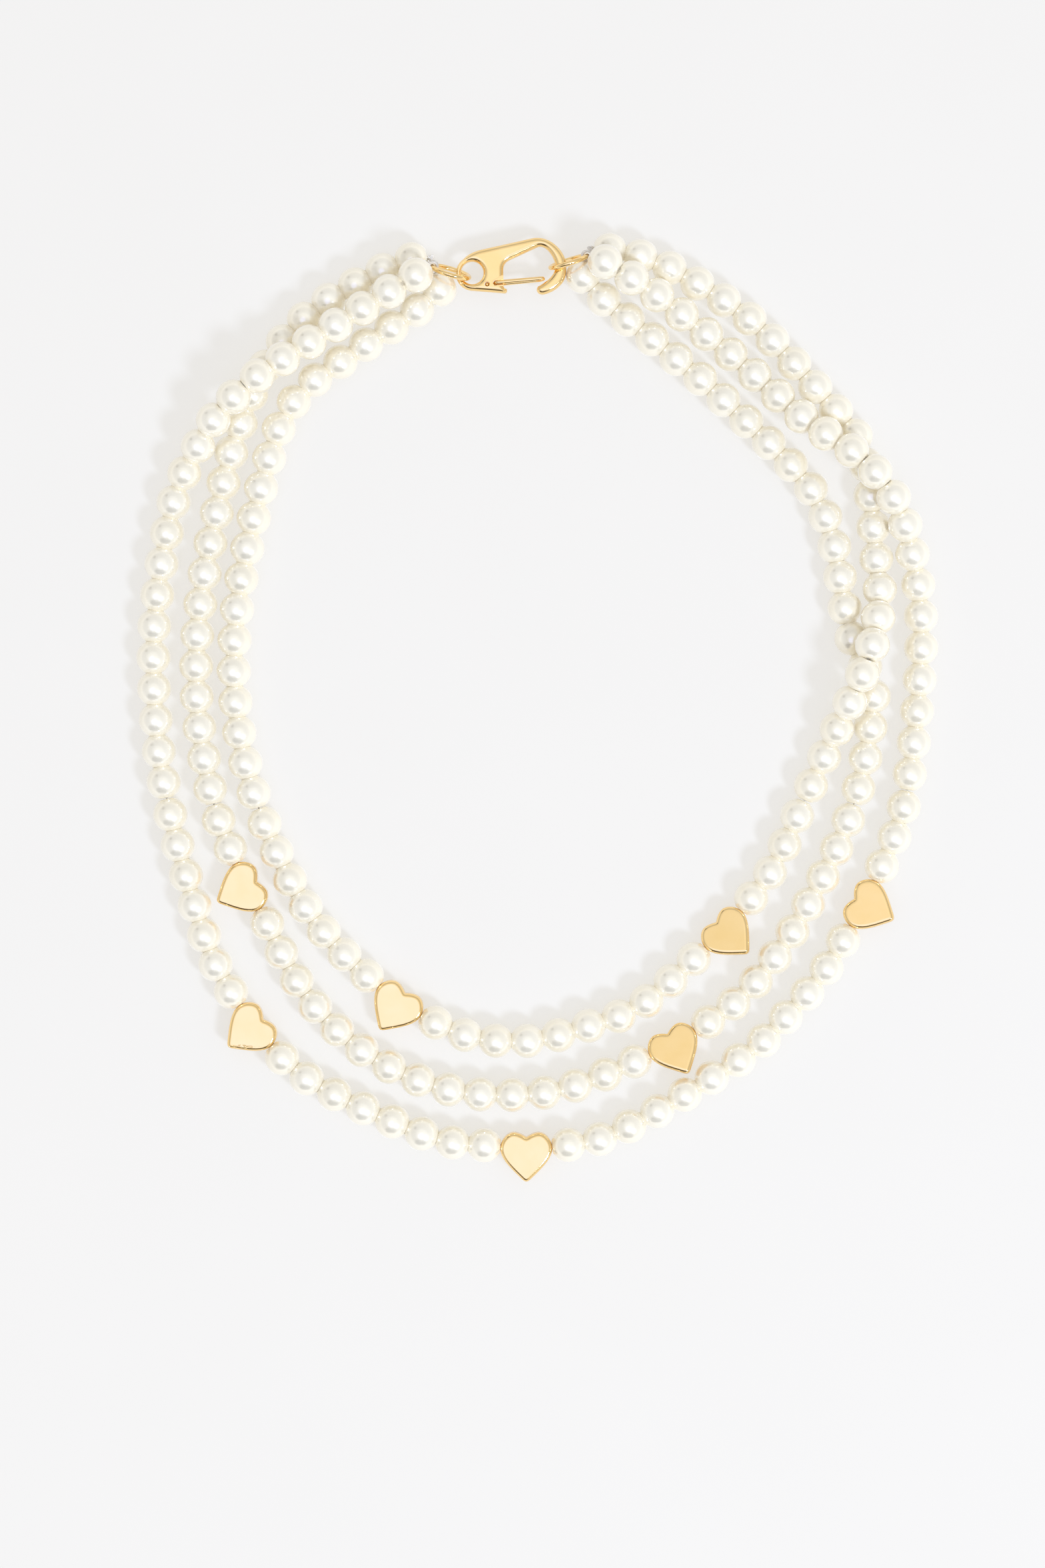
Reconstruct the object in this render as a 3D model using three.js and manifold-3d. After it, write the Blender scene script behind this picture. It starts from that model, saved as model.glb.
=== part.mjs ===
// Three-strand imitation pearl necklace with flat heart beads, lying closed in its worn outline.
// Millimetres, +Z up. It rests on Z = 0, with the clasp towards +Y and the hearts towards -Y.
import * as THREE from "three";
import { mergeVertices } from "three/addons/utils/BufferGeometryUtils.js";
import Module from "manifold-3d";

const wasm = await Module();
wasm.setup();

// Driving dimensions
const PEARL_RADIUS = 3;
const PEARL_HALF_LENGTH = 2.7; // along the drilled hole
const PEARL_SHOULDER = 0.62; // where the rings beside the equator stand, as a share of the half length
const PEARL_SIDES = 6;
const BORE_RADIUS = 0.5;
const NECK_RADIUS = 0.95; // where one pearl of a run meets the next
const THREAD_RADIUS = 0.2;
const THREAD_SIDES = 4;
const HEART_SPAN = 9.2; // room on the thread for one heart
const HEART_WIDTH = 9;
const HEART_TIP_REACH = 6.15; // from the thread to the tip
const HEART_LOBE_REACH = 2.5; // from the thread to the tops of the lobes
const HEART_CLEFT = 0.8;
const HEART_TIP_INSET = 1.25; // how far the bevel sets the tip back, in bevels
const HEART_THICKNESS = 3;
const HEART_BEVEL = 0.55;
const FOLD_PLAY = 0.3; // spare thread beside the pearl that the front of a strand folds about

const RING_RADIUS = 3.35; // to the middle of the wire
const RING_WIRE_RADIUS = 0.45;
const RING_CUT = 0.12; // the saw cut that a jump ring is closed on
const RING_HEIGHT = 3.8;
const RING_STATIONS = 18;
const WIRE_SIDES = 6;
const TURN_RADIUS = 0.86; // of the thread's turn round the ring wire
const TURN_SPACING = 0.8;
const TURN_STATIONS = 12;
const LEAD_OVERLAP = 0.5; // how far a thread's end piece reaches back into its length
const LEAD_STATIONS = 5;
const KNOT_RADIUS = 0.55;

const CLASP_THICKNESS = 2;
const CLASP_BEVEL = 0.22;
const CLASP_HEIGHT = 3.8;
const CLASP_EYE = [-11.45, 76.67];
const EYE_RADIUS = 1.97;
const EYE_SIDES = 20;
const PIVOT_HOLE_RADIUS = 0.62;
const PIVOT_SIDES = 10;
const DRILL_LENGTH = 2 * CLASP_THICKNESS;
const PIVOT_TOP = [4.1, -1.77]; // from the eye's centre, for the gate wire's upper end
const PIVOT_UNDER = [2.62, -2.03]; // for its lower end
const POCKET_RADIUS = 0.6; // round each pivot, of the recess that a gate leg swings in
const WEB_THICKNESS = 0.5; // what is left of the frame between the two gate pockets
const GATE_WIRE_RADIUS = 0.36;
const GATE_LEG_HEIGHT = 0.76; // of each leg's middle above or below the frame's middle
const GATE_NOSE = [12.45, -1.05]; // from the eye's centre
const GATE_BEND = 0.45;
const GATE_PIN_TOP = -0.2; // how low the upper turned-in end reaches
const GATE_PIN_UNDER = 0.35; // how high the lower one does
const GATE_STATIONS = 40;

// Each route runs from the left end, round the front, to the right end. The pearls are even between hearts.
const STRANDS = {
  inner: {
    route: [
      [-17.7, 76.5, 3.1], [-17.3, 73.7, 3], [-21, 70.4, 3], [-38.7, 58.3, 3], [-42.9, 54.1, 3],
      [-45.7, 49, 3], [-48.6, 39.2, 3], [-51, 28.8, 3], [-52.9, 17.8, 3], [-53.5, 6.5, 3],
      [-52.5, -4.6, 3], [-50, -14.9, 3], [-46.1, -25, 3], [-41, -34.7, 3], [-34, -43.4, 3],
      [-24.3, -51.6, 3], [-13.2, -57.4, 3], [-2.1, -58.6, 3], [8.8, -56, 3], [19.2, -51.6, 3],
      [32.8, -38.9, 3], [41, -29, 3], [45.8, -19, 3], [50.4, -8.9, 3.2], [52.6, -3.8, 4.9],
      [54.9, 1.4, 7.5], [57.1, 6.7, 9.1], [58.8, 11.7, 8.2], [60, 17, 5.6], [60.3, 22.5, 3.5],
      [59.6, 28, 3], [58.8, 37.2, 3], [58, 42.8, 3], [55.9, 48.5, 3], [41.4, 65, 3],
      [32.9, 72, 3], [23.1, 77.8, 3], [18, 79.8, 3], [12.8, 80.8, 3.1], [10.1, 80.2, 3.6],
    ],
    hearts: { left: [-24.3, -51.6], right: [32.8, -38.9] },
    pearls: [27, 10, 27],
    sidePearls: [20, 23], // on the two sides, up to and with the pearls that the front folds about
    turnLevels: [-1, 0], // which turn on the left ring and on the right ring
  },
  middle: {
    route: [
      [-19.5, 79.1, 3.3], [-22.2, 79.2, 3], [-27.1, 77.4, 3], [-36.4, 72.3, 3], [-41, 68.8, 3],
      [-45, 64.5, 3], [-48.6, 59.2, 3], [-51, 53.9, 3], [-54.2, 44.2, 3], [-56.7, 33.6, 3],
      [-58.8, 22.9, 3], [-60, 12.2, 3], [-60, 1.3, 3], [-58.6, -9.6, 3], [-55.8, -20.8, 3],
      [-50.8, -31.2, 3], [-42.4, -48, 3], [-34.8, -57.1, 3], [-26, -63.2, 3], [-15.4, -67.2, 3],
      [-4.2, -68.1, 3], [7.3, -66.3, 3], [23.8, -58.9, 3], [35.1, -51.6, 3], [42.6, -42.9, 3],
      [48.4, -33.4, 3], [53.4, -23.3, 3], [56.9, -13.2, 3], [58.9, -2.6, 3], [59.3, 2.9, 3],
      [57.5, 8.2, 3], [55, 13.5, 3], [54, 19, 3], [52.1, 29.6, 3], [47.4, 39.9, 3],
      [32.1, 55.1, 3], [24.1, 62, 3], [11.4, 72.4, 3], [8.1, 76.1, 3.1], [8.4, 78.8, 3.3],
    ],
    hearts: { left: [-50.8, -31.2], right: [23.8, -58.9] },
    pearls: [23, 15, 30],
    sidePearls: [21, 21],
    turnLevels: [0, -1],
  },
  outer: {
    route: [
      [-19.7, 77, 6.3], [-21.6, 75.5, 8.2], [-26, 72.9, 7.4], [-35.1, 67.2, 7.3], [-44.3, 61.2, 8.1],
      [-48.9, 58, 9.2], [-53.2, 54.3, 8.7], [-57.1, 50, 7.3], [-62.8, 40, 3.7], [-65.3, 31, 3],
      [-67.5, 15, 3], [-67.4, 0, 3], [-65.8, -13.5, 3], [-61.9, -29.6, 3], [-56.6, -45.4, 3],
      [-49.5, -55.7, 3], [-40.8, -65.1, 3], [-20.4, -74.9, 3], [-9.2, -77, 3], [5.6, -76.9, 3],
      [16.3, -73.6, 3], [35.9, -61.7, 3], [44, -54.2, 3], [51.1, -45.6, 3], [57.4, -34.3, 3],
      [62.9, -22.9, 3], [65.6, -12.1, 3], [67.5, 6, 3], [67.6, 18, 3], [66.5, 25, 3.8],
      [65, 31, 5.8], [62.6, 36.5, 8.1], [58.9, 41.4, 9.2], [54.8, 45.1, 8.4], [50.3, 48.2, 7],
      [46, 51.6, 5.1], [34.2, 62.4, 3], [20.8, 72.7, 5.6], [16.4, 75.4, 7.3], [12, 77.9, 8.5],
      [10.1, 79.1, 6.7],
    ],
    hearts: { left: [-49.5, -55.7], centre: [-1.9, -77.3], right: [57.4, -34.3] },
    pearls: [28, 8, 12, 25],
    sidePearls: [21, 22],
    turnLevels: [1, 1],
  },
};
const ROUTE_DIVISIONS = 24; // to each step of a route, when its length is measured
const NAPE_PEARLS = 10; // how many of a side's pearls, next to the clasp, make the nape run
const HEART_TILT = { left: 2, centre: 2, right: -9 }; // degrees about the thread, the tip down or up

const UP = new THREE.Vector3(0, 0, 1);

// Finishes
const PEARL = new THREE.MeshStandardMaterial({ color: 0xf3efe3, roughness: 0.22, metalness: 0 });
const GOLD = new THREE.MeshStandardMaterial({ color: 0xe8bd62, roughness: 0.14, metalness: 1 });
const NYLON = new THREE.MeshStandardMaterial({ color: 0xefe9dc, roughness: 0.25, metalness: 0 });

const group = new THREE.Group();

function add(name, geometry, material) {
  const mesh = new THREE.Mesh(geometry, material.clone());
  mesh.name = name;
  group.add(mesh);
  return mesh;
}

// Joining and cutting

function merged(geometry) {
  geometry.deleteAttribute("normal");
  geometry.deleteAttribute("uv");
  return mergeVertices(geometry, 1e-4);
}

function solidOf(geometry) {
  const shared = merged(geometry);
  return new wasm.Manifold(
    new wasm.Mesh({
      numProp: 3,
      vertProperties: shared.attributes.position.array,
      triVerts: new Uint32Array(shared.index.array),
    }),
  );
}

function geometryOf(solid) {
  const mesh = solid.getMesh();
  const geometry = new THREE.BufferGeometry();
  geometry.setAttribute("position", new THREE.BufferAttribute(mesh.vertProperties, 3));
  geometry.setIndex(new THREE.BufferAttribute(mesh.triVerts, 1));
  return geometry;
}

function joined(...geometries) {
  return geometryOf(geometries.map(solidOf).reduce((a, b) => a.add(b)));
}

function cutFrom(body, ...cutters) {
  return geometryOf(cutters.map(solidOf).reduce((rest, tool) => rest.subtract(tool), solidOf(body)));
}

// Paths: each gives a point, and the directions across and above it, at a distance along itself

class RoutePath {
  constructor(points) {
    const knots = points.map((p) => new THREE.Vector3(...p));
    this.curve = new THREE.CatmullRomCurve3(knots, false, "catmullrom", 0.5);
    this.curve.arcLengthDivisions = ROUTE_DIVISIONS * (points.length - 1);
    this.length = this.curve.getLength();
  }

  point(distance) {
    const p = this.curve.getPointAt(THREE.MathUtils.clamp(distance / this.length, 0, 1));
    p.z = Math.max(p.z, PEARL_RADIUS);
    return p;
  }

  frame(distance) {
    const along = this.curve.getTangentAt(THREE.MathUtils.clamp(distance / this.length, 0, 1));
    const across = new THREE.Vector3().crossVectors(along, UP).normalize();
    const above = new THREE.Vector3().crossVectors(across, along);
    return { point: this.point(distance), across, above };
  }

  nearest([x, y]) {
    let best = 0;
    let least = Infinity;
    for (let distance = 0; distance < this.length; distance += 0.1) {
      const p = this.point(distance);
      const gap = Math.hypot(p.x - x, p.y - y);
      if (gap < least) {
        least = gap;
        best = distance;
      }
    }
    return best;
  }
}

class RingPath {
  constructor(centre, outward, lean) {
    this.centre = new THREE.Vector3(...centre);
    this.outward = new THREE.Vector3(...outward).normalize();
    this.upright = new THREE.Vector3().crossVectors(UP, this.outward).multiplyScalar(-Math.sin(lean));
    this.upright.addScaledVector(UP, Math.cos(lean));
    this.normal = new THREE.Vector3().crossVectors(this.outward, this.upright);
    this.length = 2 * Math.PI * RING_RADIUS - RING_CUT;
  }

  // The cut is on the top of the ring, so the distance starts there.
  frame(distance) {
    const angle = Math.PI / 2 + (distance + RING_CUT / 2) / RING_RADIUS;
    const across = this.outward.clone().multiplyScalar(Math.cos(angle));
    across.addScaledVector(this.upright, Math.sin(angle));
    const point = this.centre.clone().addScaledVector(across, RING_RADIUS);
    return { point, across, above: this.normal };
  }
}

// A lathe whose axis is bent along a path. The profile is a closed list of [radius, distance].
function bentLathe(profile, sides, path) {
  const points = profile.map((p) => new THREE.Vector2(...p));
  const geometry = merged(new THREE.LatheGeometry(points, sides));
  const position = geometry.attributes.position;
  for (let i = 0; i < position.count; i++) {
    const { point, across, above } = path.frame(position.getY(i));
    point.addScaledVector(across, position.getX(i)).addScaledVector(above, position.getZ(i));
    position.setXYZ(i, point.x, point.y, point.z);
  }
  return geometry;
}

function rod(radius, stations, sides, path) {
  const first = stations[0];
  const last = stations[stations.length - 1];
  return bentLathe([[0, first], ...stations.map((s) => [radius, s]), [0, last]], sides, path);
}

function pearlRun(pearls, path) {
  const shoulder = PEARL_SHOULDER * PEARL_HALF_LENGTH;
  const shoulderRadius = PEARL_RADIUS * Math.sqrt(1 - PEARL_SHOULDER ** 2);
  const necks = neckDistances(pearls);
  const outer = [];
  pearls.forEach((distance, i) => {
    outer.push([NECK_RADIUS, necks[i]]);
    outer.push([shoulderRadius, distance - shoulder]);
    outer.push([PEARL_RADIUS, distance]);
    outer.push([shoulderRadius, distance + shoulder]);
  });
  outer.push([NECK_RADIUS, necks[pearls.length]]);
  const bore = necks.map((s) => [BORE_RADIUS, s]).reverse();
  return bentLathe([...outer, ...bore, outer[0]], PEARL_SIDES, path);
}

// The two ends of a run of pearls, and the places between them where they meet
function neckDistances(pearls) {
  const between = pearls.slice(1).map((s, i) => (s + pearls[i]) / 2);
  return [pearls[0] - PEARL_HALF_LENGTH, ...between, pearls[pearls.length - 1] + PEARL_HALF_LENGTH];
}

// Heart bead, with the thread along X, the tip towards -Y and the lobes towards +Y

function heartOutline() {
  const half = HEART_WIDTH / 2 - HEART_BEVEL;
  const tip = HEART_BEVEL * HEART_TIP_INSET - HEART_TIP_REACH;
  const lobe = HEART_LOBE_REACH - HEART_BEVEL;
  const cleft = lobe - HEART_CLEFT;
  const shape = new THREE.Shape();
  shape.moveTo(0, tip);
  shape.bezierCurveTo(1.5, tip + 1.5, half, -2.6, half, -0.4);
  shape.bezierCurveTo(half, 1, 3, lobe, 2, lobe);
  shape.quadraticCurveTo(0.7, lobe, 0, cleft);
  shape.quadraticCurveTo(-0.7, lobe, -2, lobe);
  shape.bezierCurveTo(-3, lobe, -half, 1, -half, -0.4);
  shape.bezierCurveTo(-half, -2.6, -1.5, tip + 1.5, 0, tip);
  return shape;
}

function heartGeometry() {
  const body = new THREE.ExtrudeGeometry(heartOutline(), {
    depth: HEART_THICKNESS - 2 * HEART_BEVEL,
    curveSegments: 4,
    bevelThickness: HEART_BEVEL,
    bevelSize: HEART_BEVEL,
    bevelSegments: 1,
  });
  body.translate(0, 0, HEART_BEVEL - HEART_THICKNESS / 2);
  const bore = new THREE.CylinderGeometry(BORE_RADIUS, BORE_RADIUS, HEART_SPAN + 2, PEARL_SIDES);
  bore.rotateZ(Math.PI / 2);
  return cutFrom(body, bore);
}

function addHeart(name, from, to, tilt) {
  const mesh = add(name, heartGeometry(), GOLD);
  const along = new THREE.Vector3().subVectors(to, from).normalize();
  const inward = new THREE.Vector3().crossVectors(UP, along).normalize();
  const face = new THREE.Vector3().crossVectors(along, inward);
  const basis = new THREE.Matrix4().makeBasis(along, inward, face);
  mesh.quaternion.setFromRotationMatrix(basis);
  mesh.rotateX(THREE.MathUtils.degToRad(tilt));
  mesh.position.addVectors(from, to).multiplyScalar(0.5);
}

// Jump rings, each through its end of the clasp. Outward points to the turns of thread, lean is in radians.

const RINGS = {
  left: new RingPath([-15.25, 76.85, RING_HEIGHT], [-0.955, 0.3, 0], -0.28),
  right: new RingPath([5.56, 78.66, RING_HEIGHT], [0.95, 0.312, 0], 0.21),
};

for (const [side, path] of Object.entries(RINGS)) {
  const share = Array.from({ length: RING_STATIONS + 1 }, (_, i) => i / RING_STATIONS);
  const stations = share.map((s) => s * path.length);
  add(`${side}_jump_ring`, rod(RING_WIRE_RADIUS, stations, WIRE_SIDES, path), GOLD);
}

// A thread's end runs from the last pearl to a turn round the ring wire. One on each side has a knot.

const KNOTS = {
  left: { strand: "middle", at: [-18.75, 79.4, 3.75] },
  right: { strand: "inner", at: [9.35, 80.95, 3.9] },
};

function threadEnd(strandName, side, path, level) {
  const ring = RINGS[side];
  const turnCentre = ring.centre.clone().addScaledVector(ring.outward, RING_RADIUS);
  turnCentre.addScaledVector(ring.upright, level * TURN_SPACING);
  const turn = new THREE.TorusGeometry(TURN_RADIUS, THREAD_RADIUS, THREAD_SIDES, TURN_STATIONS);
  turn.lookAt(ring.upright);
  turn.translate(turnCentre.x, turnCentre.y, turnCentre.z);
  const end = path.point(side === "left" ? 0 : path.length);
  const inside = path.point(side === "left" ? LEAD_OVERLAP : path.length - LEAD_OVERLAP);
  const knot = KNOTS[side].strand === strandName ? new THREE.Vector3(...KNOTS[side].at) : null;
  const towards = knot ?? end;
  const meets = new THREE.Vector3().subVectors(towards, turnCentre).projectOnPlane(ring.upright);
  meets.setLength(TURN_RADIUS).add(turnCentre);
  const lead = new THREE.CatmullRomCurve3(knot ? [inside, end, knot, meets] : [inside, end, meets]);
  const leadRod = new THREE.ExtrudeGeometry(circle(THREAD_RADIUS, THREAD_SIDES), {
    steps: LEAD_STATIONS,
    extrudePath: lead,
  });
  if (!knot) return [turn, leadRod];
  const ball = new THREE.SphereGeometry(KNOT_RADIUS, 8, 6).translate(knot.x, knot.y, knot.z);
  return [turn, leadRod, ball];
}

function circle(radius, sides) {
  const angles = Array.from({ length: sides }, (_, i) => (2 * Math.PI * i) / sides);
  return new THREE.Shape(angles.map((a) => new THREE.Vector2(radius * Math.cos(a), radius * Math.sin(a))));
}

// One strand: its pearl runs, hearts and three lengths of thread

function pearlDistances(path, heartDistances, strand) {
  const marks = [0, ...heartDistances, path.length];
  const last = strand.pearls.length - 1;
  const folds = { 0: strand.sidePearls[0], [last]: strand.pearls[last] - strand.sidePearls[1] };
  return strand.pearls.map((count, section) => {
    const from = marks[section] + (section > 0 ? HEART_SPAN / 2 : 0);
    const to = marks[section + 1] - (section < last ? HEART_SPAN / 2 : 0);
    const play = section in folds ? FOLD_PLAY : 0;
    const pitch = (to - from - play) / count;
    const pastFold = (i) => (i >= folds[section] ? play : 0);
    return Array.from({ length: count }, (_, i) => from + (i + 0.5) * pitch + pastFold(i));
  });
}

function addStrand(name, strand) {
  const path = new RoutePath(strand.route);
  const heartDistances = Object.values(strand.hearts).map((place) => path.nearest(place));
  const sections = pearlDistances(path, heartDistances, strand);
  const [leftCount, rightCount] = strand.sidePearls;
  const left = sections[0].slice(0, leftCount);
  const right = sections[sections.length - 1].slice(-rightCount);
  const front = [
    sections[0].slice(leftCount),
    ...sections.slice(1, -1),
    sections[sections.length - 1].slice(0, -rightCount),
  ];

  add(`${name}_pearls_nape_left`, pearlRun(left.slice(0, NAPE_PEARLS), path), PEARL);
  add(`${name}_pearls_side_left`, pearlRun(left.slice(NAPE_PEARLS), path), PEARL);
  add(`${name}_pearls_side_right`, pearlRun(right.slice(0, -NAPE_PEARLS), path), PEARL);
  add(`${name}_pearls_nape_right`, pearlRun(right.slice(-NAPE_PEARLS), path), PEARL);
  front.forEach((run, i) => add(`${name}_pearls_front_${i + 1}`, pearlRun(run, path), PEARL));

  Object.keys(strand.hearts).forEach((place, i) => {
    const from = path.point(heartDistances[i] - HEART_SPAN / 2);
    const to = path.point(heartDistances[i] + HEART_SPAN / 2);
    addHeart(`${name}_heart_${place}`, from, to, HEART_TILT[place]);
  });

  const leftStations = [0, ...neckDistances(left).slice(1)];
  const leftThread = rod(THREAD_RADIUS, leftStations, THREAD_SIDES, path);
  const leftEnd = threadEnd(name, "left", path, strand.turnLevels[0]);
  add(`${name}_thread_left`, joined(leftThread, ...leftEnd), NYLON);
  const rightStations = [...neckDistances(right).slice(0, -1), path.length];
  const rightThread = rod(THREAD_RADIUS, rightStations, THREAD_SIDES, path);
  const rightEnd = threadEnd(name, "right", path, strand.turnLevels[1]);
  add(`${name}_thread_right`, joined(rightThread, ...rightEnd), NYLON);
  const frontStations = front.flatMap(neckDistances);
  add(`${name}_thread_front`, rod(THREAD_RADIUS, frontStations, THREAD_SIDES, path), NYLON);
}

for (const [name, strand] of Object.entries(STRANDS)) addStrand(name, strand);

// Clasp frame, drawn from the eye's centre, with the hook towards +X

function claspOutline() {
  const shape = new THREE.Shape();
  shape.moveTo(6.1, -2.85);
  shape.lineTo(6.15, -3.2);
  shape.quadraticCurveTo(6.1, -3.6, 5.7, -3.6);
  shape.lineTo(0.15, -3.15);
  shape.absarc(0.15, -0.1, 3.05, -Math.PI / 2, -Math.PI * 1.31, true);
  shape.quadraticCurveTo(-0.5, 3.55, 1.31, 4.03);
  shape.lineTo(10.35, 6.06);
  shape.bezierCurveTo(12.9, 6.75, 15.3, 4.9, 16.2, 2.9);
  shape.bezierCurveTo(16.75, 1.5, 16.85, -1.1, 15.4, -2.3);
  shape.bezierCurveTo(14.6, -3.1, 13.6, -3.55, 12.7, -3.78);
  shape.bezierCurveTo(11.6, -4, 11, -3.1, 11.55, -2.4);
  shape.bezierCurveTo(13.3, -1.5, 14.6, -0.2, 14.64, 1.1);
  shape.bezierCurveTo(14.68, 2.2, 13.3, 4.9, 11.7, 4.6);
  shape.lineTo(6.6, 2.25);
  shape.quadraticCurveTo(5.49, 1.7, 5.49, 0.6);
  shape.lineTo(5.49, -2.2);
  shape.quadraticCurveTo(5.55, -2.75, 6.1, -2.85);
  return shape;
}

// The recess in one face
function pocket(pivot) {
  const shape = new THREE.Shape();
  shape.moveTo(7, -2.45);
  shape.lineTo(pivot[0], pivot[1] - POCKET_RADIUS);
  shape.absarc(pivot[0], pivot[1], POCKET_RADIUS, -Math.PI / 2, -Math.PI * 1.35, true);
  shape.lineTo(5, -0.6);
  shape.lineTo(7, 0.2);
  return shape;
}

function claspFrameGeometry() {
  const outline = claspOutline();
  outline.holes.push(circle(EYE_RADIUS, EYE_SIDES));
  const plate = new THREE.ExtrudeGeometry(outline, {
    depth: CLASP_THICKNESS - 2 * CLASP_BEVEL,
    curveSegments: 5,
    bevelThickness: CLASP_BEVEL,
    bevelSize: CLASP_BEVEL,
    bevelOffset: -CLASP_BEVEL,
    bevelSegments: 1,
  });
  plate.translate(0, 0, CLASP_BEVEL - CLASP_THICKNESS / 2);
  const cut = { depth: CLASP_THICKNESS, bevelEnabled: false, curveSegments: 5 };
  const above = new THREE.ExtrudeGeometry(pocket(PIVOT_TOP), cut).translate(0, 0, WEB_THICKNESS / 2);
  const under = new THREE.ExtrudeGeometry(pocket(PIVOT_UNDER), cut);
  under.translate(0, 0, -CLASP_THICKNESS - WEB_THICKNESS / 2);
  const pivotHoles = [PIVOT_TOP, PIVOT_UNDER].map(([x, y]) => {
    const drill = new THREE.CylinderGeometry(PIVOT_HOLE_RADIUS, PIVOT_HOLE_RADIUS, DRILL_LENGTH, PIVOT_SIDES);
    return drill.rotateX(Math.PI / 2).translate(x, y, 0);
  });
  return cutFrom(plate, above, under, ...pivotHoles);
}

// Gate: one wire, up through the lower pivot hole, out along the underside, round the nose and back on top
function gateGeometry() {
  const corners = [
    [...PIVOT_UNDER, GATE_PIN_UNDER],
    [...PIVOT_UNDER, -GATE_LEG_HEIGHT],
    [...GATE_NOSE, -GATE_LEG_HEIGHT],
    [...GATE_NOSE, GATE_LEG_HEIGHT],
    [...PIVOT_TOP, GATE_LEG_HEIGHT],
    [...PIVOT_TOP, GATE_PIN_TOP],
  ].map((p) => new THREE.Vector3(...p));
  const path = new THREE.CurvePath();
  let from = corners[0];
  for (let i = 1; i < corners.length - 1; i++) {
    const before = corners[i - 1].clone().sub(corners[i]).setLength(GATE_BEND).add(corners[i]);
    const after = corners[i + 1].clone().sub(corners[i]).setLength(GATE_BEND).add(corners[i]);
    path.add(new THREE.LineCurve3(from, before));
    path.add(new THREE.QuadraticBezierCurve3(before, corners[i], after));
    from = after;
  }
  path.add(new THREE.LineCurve3(from, corners[corners.length - 1]));
  const section = circle(GATE_WIRE_RADIUS, WIRE_SIDES);
  return new THREE.ExtrudeGeometry(section, { steps: GATE_STATIONS, extrudePath: path });
}

const clasp = new THREE.Group();
clasp.position.set(...CLASP_EYE, CLASP_HEIGHT);
clasp.add(add("clasp_frame", claspFrameGeometry(), GOLD));
clasp.add(add("clasp_gate", gateGeometry(), GOLD));
group.add(clasp);

export default group;
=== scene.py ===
"""Looks of the three-strand pearl necklace: pearls, heart beads, thread ends, jump rings and clasp."""

import math
from collections import Counter

import bmesh
import bpy
import numpy as np
from mathutils import Matrix, Vector
from mathutils.geometry import delaunay_2d_cdt


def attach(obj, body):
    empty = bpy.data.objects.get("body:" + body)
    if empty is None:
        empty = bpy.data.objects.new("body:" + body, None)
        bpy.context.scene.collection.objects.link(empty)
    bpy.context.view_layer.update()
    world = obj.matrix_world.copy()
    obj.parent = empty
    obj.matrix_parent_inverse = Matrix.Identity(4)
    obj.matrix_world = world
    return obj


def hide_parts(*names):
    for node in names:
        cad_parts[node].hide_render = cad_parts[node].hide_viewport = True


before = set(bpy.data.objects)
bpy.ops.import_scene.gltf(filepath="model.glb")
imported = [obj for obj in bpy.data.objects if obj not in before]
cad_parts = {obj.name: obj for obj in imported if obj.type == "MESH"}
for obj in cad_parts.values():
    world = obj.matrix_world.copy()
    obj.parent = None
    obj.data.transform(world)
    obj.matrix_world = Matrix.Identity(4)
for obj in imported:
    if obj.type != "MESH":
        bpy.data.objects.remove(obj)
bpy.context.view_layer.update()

MM = 0.001

# Driving dimensions, in millimetres
PEARL_RADIUS = 3.0  # of the CAD's pearls, and the lowest that a thread lies
PEARL_HALF_LENGTH = 2.7  # along the drilled hole
HEART_SPAN = 9.2  # room on the thread for one heart
FOLD_PLAY = 0.3  # spare thread beside the pearl that the front of a strand folds about
NAPE_PEARLS = 10  # how many of a side's pearls, next to the clasp, make the nape run

RING_RADIUS = 3.35  # to the middle of the wire
RING_WIRE = 0.45  # radius
RING_CUT = 0.12  # the saw cut that a jump ring is closed on
RING_HEIGHT = 3.8
THREAD_RADIUS = 0.2
TURN_RADIUS = 0.86  # of the thread's turns round the ring wire
TURN_SPACING = 0.8  # from one strand's turns to the next strand's
KNOT_RADIUS = 0.4636  # to the middle of its thread

CLASP_PLACE = (-11.45, 76.67, 3.8)  # of the eye's centre
CLASP_THICKNESS = 2.0
EYE_RADIUS = 1.97
PIVOT_HOLE_RADIUS = 0.46  # close round the gate's wire
PIVOT_TOP = (4.1, -1.77)  # from the eye's centre, for the gate wire's upper end
PIVOT_UNDER = (2.62, -2.03)  # for its lower end
POCKET_RADIUS = 0.6  # round each pivot, of the recess that a gate leg swings in
WEB_THICKNESS = 0.5  # what is left of the frame between the two gate pockets
GATE_WIRE = 0.37  # radius
GATE_LEG_HEIGHT = 0.76  # of each leg's middle above or below the frame's middle
GATE_NOSE = (12.45, -1.05)  # from the eye's centre
GATE_BEND = 0.62  # how far from each corner its bend begins
GATE_PIN_TOP = -0.2  # how low the upper turned-in end reaches
GATE_PIN_UNDER = 0.35  # how high the lower one does

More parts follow.
